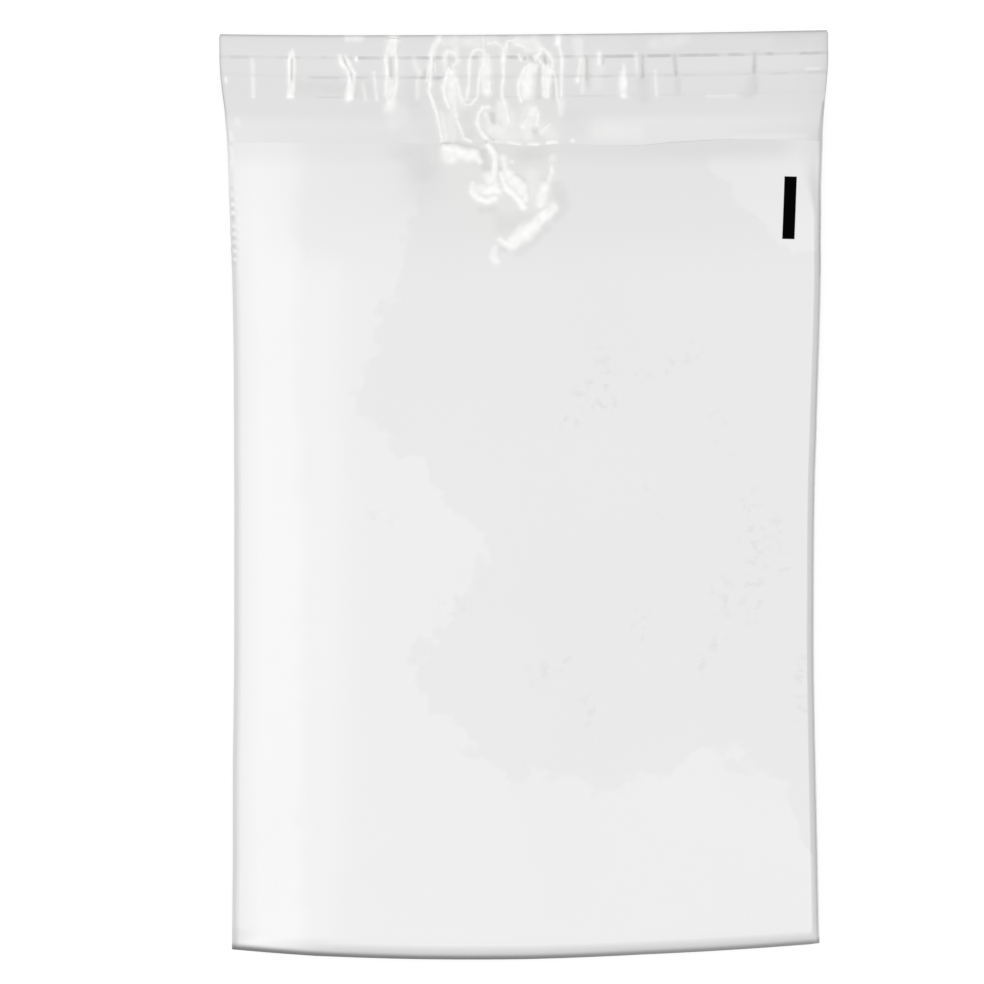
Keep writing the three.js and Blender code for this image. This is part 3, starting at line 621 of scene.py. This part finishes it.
# %% Mark the welds, and painted shade and light at the edges and the foot
RIGHT_WELD_TONE = (
    [0, 40, 44, 97, 99, 133, 136, LENGTH],
    [0.4, 0.4, 0.35, 0.35, 0.05, 0.05, 0.12, 0.12],
)
LEFT_WELD_TONE = ([0, 40, 60, 90, LENGTH], [0.5, 0.5, 0.35, 0.85, 1])
# Beyond the left weld itself, the grey runs on inwards as painted shade where the film turns down.
LEFT_WELD_EDGE = ([0, 1.1, 1.9, 2.6, 3.4, 6.6, 11], [0.7, 0.74, 0.6, 0.26, 0.18, 0.1, 0])
# How strongly the shadow under the foot fold is painted, across the bag.
FOOT_TONE = ([-1, -0.1, 0.4, 1], [1, 0.95, 0.75, 0.7])
GLINT_ON_WELD = [(-115.6, 45), (-115.2, 49), (-115.6, 53.5)]

# Painted shade in the weld dimples, and painted highlights on the bulges between them and on a glint by
# the weld.
dots = by_left_weld * np.clip(dimples, 0, 1) * bell(from_side - 1.1, 0.75)
glints = by_left_weld * np.clip(bulges, 0, 1) * bell(from_side - 1.5, 0.75)
leaf = bell(distance(x, drop, GLINT_ON_WELD), 0.8)
# Painted light: the steep right wall is lightened almost to white, where the lamps leave it grey.
wall = 0.8 * (share > 0) * smooth((3.4 - from_side) / 1.6) * smooth((drop - 44) / 14)
# The weld's own grey, with painted shade beside it where the edges turn down.
left_rim = np.interp(from_side, *LEFT_WELD_EDGE) * np.interp(drop, *LEFT_WELD_TONE)
right_rim = (1 - smooth((from_side - 0.9) / 1.0)) * np.interp(drop, *RIGHT_WELD_TONE)
keep(
    body.data,
    pale=np.maximum.reduce([pale, 0.7 * glints, 0.4 * leaf]) * is_front,
    dark=np.maximum(dark, 0.55 * dots) * is_front,
    marks=marks * is_front,
    wall=wall * is_front,
    rim=np.where(share > 0, right_rim, left_rim),
    # Painted shadow: a near-black line along the foot fold, where it meets the table.
    foot_line=np.exp(-(((LENGTH - drop) / 2.5) ** 4)) * np.interp(share, *FOOT_TONE),
)
print("weld dots up to", round(float(dots.max()), 2))

# %% [markdown]
# Where the goods touch the film from inside, they show through it a little. Their outline
# is three plain curves, roughened by noise. Beside the flap and along the left the film
# stands free of them. A lighter band along the left shoulder and the right wall is painted
# light, and a grey band below the flap's tail and a grey patch left of the crumple are
# painted shadow.

# %% Mark the goods behind the film, and painted light and shadow
GOODS_LEFT = (
    [45, 62, 89, 105, 125, 148, 160, 172, 192, 208, 223, 235, 247, 259, 283, 295],
    [-38, -42, -46, -51, -60, -68, -56, -39, -23, -17, -25, -35, -46, -37, -23, -11],
)
GOODS_FOOT = (
    [-20, 55, 62, 86, 92, 98, 107, 113, 120],
    [292, 294, 286, 287, 295, 300, 318, 332, 334],
)
GOODS_HEAD = ([60, 80, 97, 112], [30, 62, 84, 92])
# How dark the painted shadow below the flap's tail is, across the bag.
EMPTY_BY_FLAP = (
    [-120, -60, -44, -30, 20, 50, 70, 100, 108, 118],
    [0.3, 0.35, 0.85, 0.7, 0.6, 0.9, 1.1, 1.0, 0.5, 0.6],
)

# Painted shadow: a grey band just below the flap's tail, and a grey patch left of the crumple.
empty = (1 - smooth((drop - 45) / 10)) * np.interp(x, *EMPTY_BY_FLAP)
deeper = 0.8 * bell(x + 40, 9) * smooth((78 - drop) / 28)
ragged = 5 * waves(x, drop, 26, 8.3) + 5 * waves(x, drop, 8, 2.9)
from_left = x - np.interp(drop, *GOODS_LEFT)
from_foot = np.interp(x, *GOODS_FOOT) - drop
from_head = drop - np.interp(x, *GOODS_HEAD)
goods = np.minimum.reduce([from_left, from_foot, from_head]) + ragged
# Painted light: a lighter band along the left shoulder and beside the right edge, where the lamps fall
# on the slopes.
loose = 1 - smooth((x + 94 + 0.5 * ragged) / 10)
loose = np.maximum(loose, (share > 0) * smooth((4.5 - from_side) / 2))
keep(
    body.data,
    empty=np.maximum(empty, deeper) * is_front,
    goods=np.where(is_front, np.clip(goods / 40 + 0.5, 0, 1), 0.5),
    loose=loose * is_front,
    flap=0,
    lip=0,
    glue_top=0,
    glue_end=0,
)
body.data.update()
print("goods behind", round(float((goods > 0)[is_front].mean()), 2), "of the front's points")

# %% [markdown]
# ## The flap
#
# The flap is the back sheet running on past the mouth. It turns round the head fold, steps
# up over the lip of the front, lies on the glue and ends in a loose tail. It starts as the
# same kind of slab. The first rows wrap round the fold, and the rest lie just above the
# front. Its underside gets no tunnels, because a tunnel is hollow.

# %% Flap: rows, and where the faces are small
FLAP_END = 42.9
LIP_DROP = 8.5
STRIP_FROM, STRIP_TO = 16.4, 24.5
SHEET = 0.16  # the flap's thickness
ROWS = 12
TURN_ROWS = 1.0  # grid rows that wrap round the fold
TURN_DROP = 1.3  # the drop at which they end
FINE_BELOW = 1.9  # creases of less reach get small faces
FLAP_CREASES = FOLDS + PRESSED + PINCHES
FINE_CREASES = [crease for crease in FLAP_CREASES if crease[1] < FINE_BELOW]


def flap_row(y):
    return (1 - y) * ROWS / 2


def flap_run(y):
    return np.clip((flap_row(y) - TURN_ROWS) / (ROWS - TURN_ROWS), 0, 1)


def flap_place(x, y):
    drop = TURN_DROP + (FLAP_END - TURN_DROP) * flap_run(y)
    return from_above(x, drop)[0], drop


flap = film_slab("mailer_flap", 60, ROWS)
cut_faces(flap, everywhere, 3, both_sides=True)
cut_faces(flap, lambda x, y: near_creases(*flap_place(x, y), FINE_CREASES, 0.4), 2)

# %% Lay the flap on the front
TAILS = [(66, 44, 0.25), (-82, 40, 0.05)]  # across, reach, lift
END_WAVES = ([14, 28, 47, 58, 79, 101, 117], [0, 1.3, 1.6, 0.6, 0.5, 0.9, 2.1])
FLAP_INSET = 0.4
GAP = 0.3
LIP_STEP, GLUE_STEP = 0.25, 0.3
TAIL_SINK = 0.75 + SHEET  # brings the tail's edge down into the front, so no crisp edge shows

grid = points_of(flap.data)
share, top, row = grid[:, 0], grid[:, 2] > 0.5, flap_row(grid[:, 1])
place = share * HALF
end = FLAP_END - 0.7 * smooth((place - 40) / 60) + 0.15 * np.sin(place / 7)
end = end + 1.2 * bell(place - 2, 11) + np.interp(place, *END_WAVES)
drop = TURN_DROP + (end - TURN_DROP) * flap_run(grid[:, 1])
share = share * (1 - FLAP_INSET / HALF)
x, y = from_above(share, drop)

gap = GAP + LIP_STEP * smooth((drop - LIP_DROP + 0.5) / 1.0)
gap = gap + GLUE_STEP * smooth((drop - STRIP_FROM + 1.2) / 1.6)
gap = gap - TAIL_SINK * smooth((drop - STRIP_TO - 0.5) / 13)
pressed = smooth((drop - 26) / 14) * np.exp(-(((x + 9) / 26) ** 4))
lift = sum(rise * smooth(1 - np.abs(x - at) / reach) for at, reach, rise in TAILS)
lift = lift * smooth((drop - 27) / 15) * (1 - pressed)
# The flap's creases whiten and carry painted highlights, and its pinches get painted shade.
rise, pale, dark = creased(x, drop, FLAP_CREASES)
front_rise = creased(x, drop, CRUMPLE + HOLLOWS)[0]
front = front_height(share, drop) + front_rise * (drop > 40)
z = front + gap + lift + np.where(top, rise + SHEET, np.minimum(rise, 0) - 0.04)

# %% Wrap its first rows round the head fold
FOLD_BELOW = 0.25  # the flap starts this far under the back
INNER = 0.45  # the inside of the turn, as a share of its radius
TUCK = 3.0

in_fold = row < TURN_ROWS
turn = np.clip(row / TURN_ROWS, 0, 1)
angle = np.pi * (turn - 0.5)
at_fold = np.zeros(len(x))
under = back_height(share, at_fold) - FOLD_BELOW
radius = (front_height(share, at_fold + TURN_DROP) + GAP + SHEET - under) / 2
outer = np.where(top, 1.0, INNER)
fold_y = from_above(share, at_fold + TURN_DROP)[1]
y = np.where(in_fold, fold_y + TURN_DROP * outer * np.cos(angle), y)
z = np.where(in_fold, under + radius + radius * outer * np.sin(angle), z)
y = np.where(in_fold & (row < 1e-6), y - TUCK, y)
flap.data.vertices.foreach_set("co", (np.stack([x, y, z], axis=1) * MM).ravel())
drop = np.where(in_fold, TURN_DROP * turn, drop)
lay_sheet_map(flap.data, x, drop)
print("flap", len(flap.data.vertices), "points, turn radius", round(float(radius.mean()), 2), "mm")

# %% [markdown]
# The lip of the mouth and the two edges of the glue show through the flap as fine lines.
# They are broken where a tunnel lifts the flap off them, so each has its own strength
# across the bag.

# %% Mark the flap
LIP_LINE = (
    [-117, -108, -93, -84, -76, -64, -56, -49, -42, -37, -33, -27, -22, -17,
     -7, -3, 0, 12, 15, 22, 25, 40, 56, 62, 86, 92, 116, 119],
    [0.5, 0.4, 0.35, 0.3, 0.55, 0.8, 0.5, 0.6, 0.6, 1, 0.8, 0.2, 0.9, 0.6,
     0.9, 0.8, 0.2, 0.3, 0.9, 0.5, 0.9, 0.95, 0.95, 0.9, 0.75, 0.95, 0.8, 0.4],
)
GLUE_TOP_LINE = (
    [-86, -83, -66, -60, -54, -44, -40, -33, -30, -8, 0, 7, 16, 24, 40, 60, 90, 117],
    [0, 0.45, 0.5, 0.2, 0.2, 0.5, 0.9, 0.9, 0.1, 0.2, 0.1, 0.6, 0.7, 0.6, 0.3, 0.3, 0.25, 0.35],
)
GLUE_END_LINE = (
    [-83, -80, -70, -40, 10, 24, 40, 88, 117],
    [0, 0.35, 0.3, 0.15, 0.2, 0.3, 0.15, 0.2, 0.1],
)
# The flap's tail lies over the filled front and reads whiter; its whitest stretch, from 28 to 80 mm
# across, is painted light on the tail's lip.
TAIL_BACKED = (
    [-120, -55, -44, -28, -10, 20, 28, 52, 80, 119],
    [0.8, 0.75, 0.6, 0.5, 0.6, 0.6, 1.2, 1.2, 1.0, 0.3],
)
# Painted shade: the flap has no weld, and its side edges and the right end of its head fold are greyed
# where they turn from the light.
RIGHT_EDGE = ([0, 1, 2.5, 6, 14], [0.55, 0.4, 0.18, 0.1, 0])

from_side = (1 - np.abs(share)) * HALF
left_rim = 0.5 * (1 - smooth((from_side - 0.5) / 0.7))
head_band = 0.11 * smooth((9 - drop) / 1.5) * smooth((x - 36) / 12)
head_corner = 0.33 * smooth((4 - drop) / 3) * smooth((x - 62) / 45)
right_rim = np.maximum.reduce([np.interp(from_side, *RIGHT_EDGE), head_band, head_corner])
keep(
    flap.data,
    pale=pale * top,
    dark=dark * top,
    rim=np.where(share < 0, left_rim, right_rim),
    empty=1 - smooth((drop - 30.5) / 6) * np.interp(x, *TAIL_BACKED),
    lip=np.interp(x, *LIP_LINE),
    glue_top=np.interp(x, *GLUE_TOP_LINE),
    glue_end=np.interp(x, *GLUE_END_LINE),
    flap=1,
    goods=1,
    loose=0,
    foot_line=0,
    marks=0,
    wall=0,
)
flap.data.update()
print("flap creases whiten", round(float((pale > 0.5)[top].mean()), 3), "of its points")

# %% [markdown]
# Flap and body are one film, so they are joined into one piece, and its faces are shaded
# smooth except at the cut edges.

# %% One film
bpy.ops.object.select_all(action="DESELECT")
flap.select_set(True)
body.select_set(True)
bpy.context.view_layer.objects.active = body
bpy.ops.object.join()
film = bpy.context.object
film.name = film.data.name = "mailer_film"
only(film)
bpy.ops.object.shade_smooth_by_angle(angle=np.radians(60))
triangles = sum(len(p.vertices) - 2 for p in film.data.polygons)
print("film", triangles, "triangles")

# %% [markdown]
# ## The look of the film
#
# White polyethylene is a milky plastic with a soft gloss. A lighter band is painted along
# the left shoulder and the right wall as light falling there. Where the goods touch it they
# show through as a faint grey, and where there is only film, over the mouth and the glue,
# the light goes on through it and it reads a shade greyer still; the same grey paints the
# shadow below the flap's tail. Stretched creases whiten and carry painted highlights,
# pinches and hollows get painted shade, and the welds are melted film, greyer again; that
# grey also paints shade at the rims and the head fold, and a near-black line paints the
# shadow under the foot fold. A fine bump gives the blown film its grain.


# %% Helpers for materials
class Maker:
    def __init__(self, name):
        self.material = bpy.data.materials.new(name)
        self.material.use_nodes = True
        self.tree = self.material.node_tree
        self.shader = self.tree.nodes["Principled BSDF"]

    def put(self, kind, **settings):
        made = self.tree.nodes.new(kind)
        for key, value in settings.items():
            setattr(made, key, value)
        return made

    def plug(self, value, socket):
        if isinstance(value, bpy.types.NodeSocket):
            self.tree.links.new(value, socket)
        else:
            socket.default_value = value

    def math(self, operation, *values):
        made = self.put("ShaderNodeMath", operation=operation)
        for value, socket in zip(values, made.inputs):
            self.plug(value, socket)
        return made.outputs[0]

    def times(self, *values):
        result = values[0]
        for value in values[1:]:
            result = self.math("MULTIPLY", result, value)
        return result

    def step(self, value, low, high):
        made = self.put("ShaderNodeMapRange", interpolation_type="SMOOTHSTEP")
        self.plug(value, made.inputs["Value"])
        made.inputs["From Min"].default_value = low
        made.inputs["From Max"].default_value = high
        return made.outputs["Result"]

    def until(self, value, low, high):
        return self.math("SUBTRACT", 1.0, self.step(value, low, high))

    def line(self, value, place, reach):
        away = self.math("ABSOLUTE", self.math("SUBTRACT", value, place))
        return self.until(away, reach * 0.3, reach)

    def blend(self, factor, first, second):
        made = self.put("ShaderNodeMix", data_type="RGBA")
        self.plug(factor, made.inputs[0])
        self.plug(first, made.inputs[6])
        self.plug(second, made.inputs[7])
        return made.outputs[2]

    def noise(self, where, scale, detail=2.0):
        made = self.put("ShaderNodeTexNoise")
        self.plug(where, made.inputs["Vector"])
        made.inputs["Scale"].default_value = scale
        made.inputs["Detail"].default_value = detail
        return made.outputs["Fac"]

    def own(self, name):
        return self.put("ShaderNodeAttribute", attribute_name=name).outputs["Fac"]


# %% White film: its ground colour, with painted light and shade
# Some of these greys paint light and shade: the lightest paints light on the left shoulder, the
# thin-film grey also paints the shadow below the flap's tail, the weld grey also paints shade at the
# rims and the head fold, the near-black paints the shadow under the foot fold, the darkest grey paints
# shade in pinches and hollows, and the near white paints light on the right wall.
LOOSE = (0.872, 0.872, 0.872, 1)
FILLED = (0.826, 0.826, 0.826, 1)
OVER_GOODS = (0.79, 0.79, 0.79, 1)
EMPTY = (0.728, 0.728, 0.728, 1)
WELD = (0.53, 0.53, 0.53, 1)
UNDER_FOOT = (0.13, 0.13, 0.13, 1)
PINCHED = (0.30, 0.30, 0.30, 1)
LIT = (0.98, 0.98, 0.98, 1)
IVORY = (0.80, 0.80, 0.72, 1)
IVORY_MIDDLE, IVORY_SIZE = (-10.0, 42.0), (26.0, 44.0)

m = Maker("white_film")
split = m.put("ShaderNodeSeparateXYZ")
m.plug(m.put("ShaderNodeUVMap", uv_map="sheet").outputs["UV"], split.inputs[0])
across = m.times(m.math("SUBTRACT", split.outputs[0], 0.5), 2 * HALF)
drop = m.times(split.outputs[1], LENGTH)
place = m.put("ShaderNodeTexCoord").outputs["Object"]

ragged = m.times(m.math("SUBTRACT", m.noise(place, 120.0, 4.0), 0.5), 0.6)
goods = m.step(m.math("ADD", m.own("goods"), ragged), 0.44, 0.56)
# Painted light on the left shoulder and beside the right edge.
colour = m.blend(m.own("loose"), FILLED, LOOSE)
colour = m.blend(goods, colour, OVER_GOODS)
# The greyer thin film, which on the front also paints the shadow below the flap's tail.
colour = m.blend(m.own("empty"), colour, EMPTY)
cloud = m.step(m.noise(place, 14.0), 0.35, 0.75)
colour = m.blend(m.times(cloud, 0.08), colour, EMPTY)
specks = m.times(m.own("marks"), m.step(m.noise(place, 240.0, 2.0), 0.5, 0.66), 0.16)
colour = m.blend(specks, colour, PINCHED)
# Painted light on the right wall.
colour = m.blend(m.own("wall"), colour, LIT)


def squared(value, middle, size):
    away = m.math("ABSOLUTE", m.math("SUBTRACT", value, middle))
    return m.math("POWER", m.math("DIVIDE", away, size), 2.0)


wide = squared(across, IVORY_MIDDLE[0], IVORY_SIZE[0])
high = squared(drop, IVORY_MIDDLE[1], IVORY_SIZE[1])
ivory = m.times(m.until(m.math("ADD", wide, high), 0.3, 1.1), 0.16)
colour = m.blend(ivory, colour, IVORY)
# The weld grey, with painted shade along the rims and on the flap's edges.
colour = m.blend(m.own("rim"), colour, WELD)
# Painted shadow under the foot fold.
colour = m.blend(m.times(m.own("foot_line"), 0.85), colour, UNDER_FOOT)
# Painted shade: the first 4 mm below the head fold are greyed where the film turns under.
colour = m.blend(m.times(m.until(drop, 0.4, 4.0), 0.17), colour, WELD)
print("ground colour", len(m.tree.nodes), "nodes")

# %% White film: lines, and creases with painted highlights and shade
# The white of stretched creases, which also paints their highlights.
STRETCHED = (0.985, 0.985, 0.965, 1)

patches = m.step(m.noise(place, 115.0, 1.0), 0.42, 0.54)
patches = m.math("ADD", m.times(patches, 0.6), 0.4)
lip = m.times(m.line(drop, LIP_DROP + 0.4, 1.0), m.own("lip"), patches)
glue_top = m.times(m.line(drop, STRIP_FROM + 0.3, 0.9), m.own("glue_top"), patches)
glue_end = m.times(m.line(drop, STRIP_TO, 0.5), m.own("glue_end"), patches)
lines = m.math("MAXIMUM", lip, m.math("MAXIMUM", glue_top, glue_end))
# Painted shade in the pinches and hollows, taken with the lip and glue lines.
pinched = m.math("MAXIMUM", m.times(lines, 0.46), m.times(m.own("dark"), 0.6))
colour = m.blend(pinched, colour, PINCHED)
# Whitening of the creases, with their painted highlights.
colour = m.blend(m.own("pale"), colour, STRETCHED)
print("with lines", len(m.tree.nodes), "nodes")

# %% White film: the printed bar
BAR_MIDDLE = (104.2, 70.9)
BAR_SIZE = (4.85, 25.1)
BAR_LEAN = np.radians(3.2)
BAR_BLUR = 0.1
INK = (0.0005, 0.0005, 0.0005, 1)


def within(value, size):
    return m.until(m.math("ABSOLUTE", value), size / 2 - BAR_BLUR, size / 2 + BAR_BLUR)


to_right = m.math("SUBTRACT", across, BAR_MIDDLE[0])
to_foot = m.math("SUBTRACT", drop, BAR_MIDDLE[1])
bar_x = m.math("ADD", m.times(to_right, np.cos(BAR_LEAN)), m.times(to_foot, np.sin(BAR_LEAN)))
bar_y = m.math("SUBTRACT", m.times(to_foot, np.cos(BAR_LEAN)), m.times(to_right, np.sin(BAR_LEAN)))
on_body = m.math("SUBTRACT", 1.0, m.own("flap"))
printed = m.times(within(bar_x, BAR_SIZE[0]), within(bar_y, BAR_SIZE[1]), on_body)
m.plug(m.blend(printed, colour, INK), m.shader.inputs["Base Color"])
print("with the bar", len(m.tree.nodes), "nodes")

# %% White film: gloss and grain
rough = m.math("ADD", 0.27, m.times(m.noise(place, 140.0), 0.04))
gloss = m.math("SUBTRACT", 0.5, m.times(printed, 0.48))
m.plug(m.math("ADD", rough, m.times(printed, 0.3)), m.shader.inputs["Roughness"])
m.plug(gloss, m.shader.inputs["Specular IOR Level"])
m.shader.inputs["IOR"].default_value = 1.5

bump = m.put("ShaderNodeBump")
bump.inputs["Strength"].default_value = 0.3
bump.inputs["Distance"].default_value = 0.0003
grain = m.times(m.noise(place, 45.0, 2.0), 0.4)
m.plug(m.math("SUBTRACT", grain, m.times(lines, 0.4)), bump.inputs["Height"])
m.plug(bump.outputs[0], m.shader.inputs["Normal"])
film.data.materials.clear()
film.data.materials.append(m.material)
print("film material", len(m.tree.nodes), "nodes")

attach(film, "root")
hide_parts("bag_film", "printed_bar")

# %% [markdown]
# ## The glue
#
# The adhesive strip stays the measured solid, under the flap. Hot-melt glue is a clear,
# slightly yellow rubber with a smooth skin.

# %% Glue strip
g = Maker("hot_melt")
inside = g.put("ShaderNodeTexCoord").outputs["Object"]
tone = g.blend(g.noise(inside, 90.0), (0.74, 0.74, 0.69, 1), (0.80, 0.80, 0.76, 1))
g.plug(tone, g.shader.inputs["Base Color"])
g.shader.inputs["Roughness"].default_value = 0.45
strip = bpy.data.objects["adhesive_strip"]
for slot in strip.material_slots:
    slot.material = g.material
print("strip", strip.name, len(strip.material_slots), "slots")

# %% [markdown]
# ## The studio
#
# The bag lies on a white sheet and is seen from straight above, with the head end up. The
# sky is bright above and dim at the horizon, like a large overhead softbox, so slopes stay
# white and only the rims and the foot fold go dark. A broad panel at the left is mirrored
# softly by the left shoulder. Small low panels are mirrored by the flanks of the creases
# alone. The floor shows white to the camera by its own glow and still takes the bag's
# shadow.

# %% Floor
bpy.ops.object.select_all(action="DESELECT")
bpy.ops.mesh.primitive_plane_add(size=8, location=(0, 0, -0.0002))
floor = bpy.context.object
floor.name = "studio_floor"

f = Maker("white_sweep")
f.tree.nodes.remove(f.shader)
path = f.put("ShaderNodeLightPath")
paper = f.put("ShaderNodeBsdfDiffuse")
paper.inputs["Color"].default_value = (0.4, 0.4, 0.4, 1)
dim = f.put("ShaderNodeBsdfDiffuse")
dim.inputs["Color"].default_value = (0.28, 0.28, 0.28, 1)
glow = f.put("ShaderNodeEmission")
glow.inputs["Strength"].default_value = 0.8
lit = f.put("ShaderNodeAddShader")
f.plug(dim.outputs[0], lit.inputs[0])
f.plug(glow.outputs[0], lit.inputs[1])
pick = f.put("ShaderNodeMixShader")
f.plug(path.outputs["Is Camera Ray"], pick.inputs[0])
f.plug(paper.outputs[0], pick.inputs[1])
f.plug(lit.outputs[0], pick.inputs[2])
f.plug(pick.outputs[0], f.tree.nodes["Material Output"].inputs["Surface"])
floor.data.materials.append(f.material)
print("floor material", len(f.tree.nodes), "nodes")


# %% Panels and sparkles
def soft_light(name, place, size, depth, power):
    lamp = bpy.data.lights.new(name, "AREA")
    lamp.shape = "RECTANGLE"
    lamp.size, lamp.size_y = size, depth
    lamp.energy = power
    obj = bpy.data.objects.new(name, lamp)
    bpy.context.scene.collection.objects.link(obj)
    obj.location = place
    obj.rotation_euler = (-Vector(place)).to_track_quat("-Z", "Y").to_euler()


soft_light("left_panel", (-1.2, 0.0, 1.5), 1.0, 1.0, 5.0)
soft_light("right_panel", (1.3, -0.1, 1.3), 0.9, 0.9, 4.0)
soft_light("foot_panel", (-0.1, -1.5, 1.3), 0.9, 0.6, 2.5)
soft_light("left_sparkle", (-1.5, 0.2, 0.85), 0.35, 0.35, 2.2)
soft_light("right_sparkle", (1.5, 0.3, 0.85), 0.3, 0.3, 1.2)
print("lights", len(bpy.data.lights))

# %% Sky
SKY_AT_HORIZON, SKY_ABOVE = 0.25, 1.02
world = bpy.data.worlds.new("studio")
bpy.context.scene.world = world
world.use_nodes = True
sky = world.node_tree
direction = sky.nodes.new("ShaderNodeTexCoord")
parts = sky.nodes.new("ShaderNodeSeparateXYZ")
ramp = sky.nodes.new("ShaderNodeMapRange")
ramp.inputs["To Min"].default_value = SKY_AT_HORIZON
ramp.inputs["To Max"].default_value = SKY_ABOVE
sky.links.new(direction.outputs["Generated"], parts.inputs[0])
sky.links.new(parts.outputs["Z"], ramp.inputs["Value"])
sky.links.new(ramp.outputs["Result"], sky.nodes["Background"].inputs["Strength"])
sky.nodes["Background"].inputs["Color"].default_value = (1, 1, 1, 1)
print("sky", len(sky.nodes), "nodes")

# %% Camera
VIEW_WIDTH = 0.3884
DISTANCE = 2.2  # far enough for straight, nearly parallel sides
AIM_X, AIM_Y, AIM_Z = -0.0137, 0.0010, 0.009
ROLL = np.radians(-0.47)
SENSOR = 36
bpy.ops.object.camera_add(location=(AIM_X, AIM_Y, AIM_Z + DISTANCE), rotation=(0, 0, ROLL))
camera = bpy.context.object
camera.data.sensor_width = SENSOR
camera.data.lens = SENSOR * DISTANCE / VIEW_WIDTH
camera.data.clip_end = 20
bpy.context.scene.camera = camera
bpy.context.scene.view_settings.view_transform = "Standard"
print("lens", round(camera.data.lens, 1))
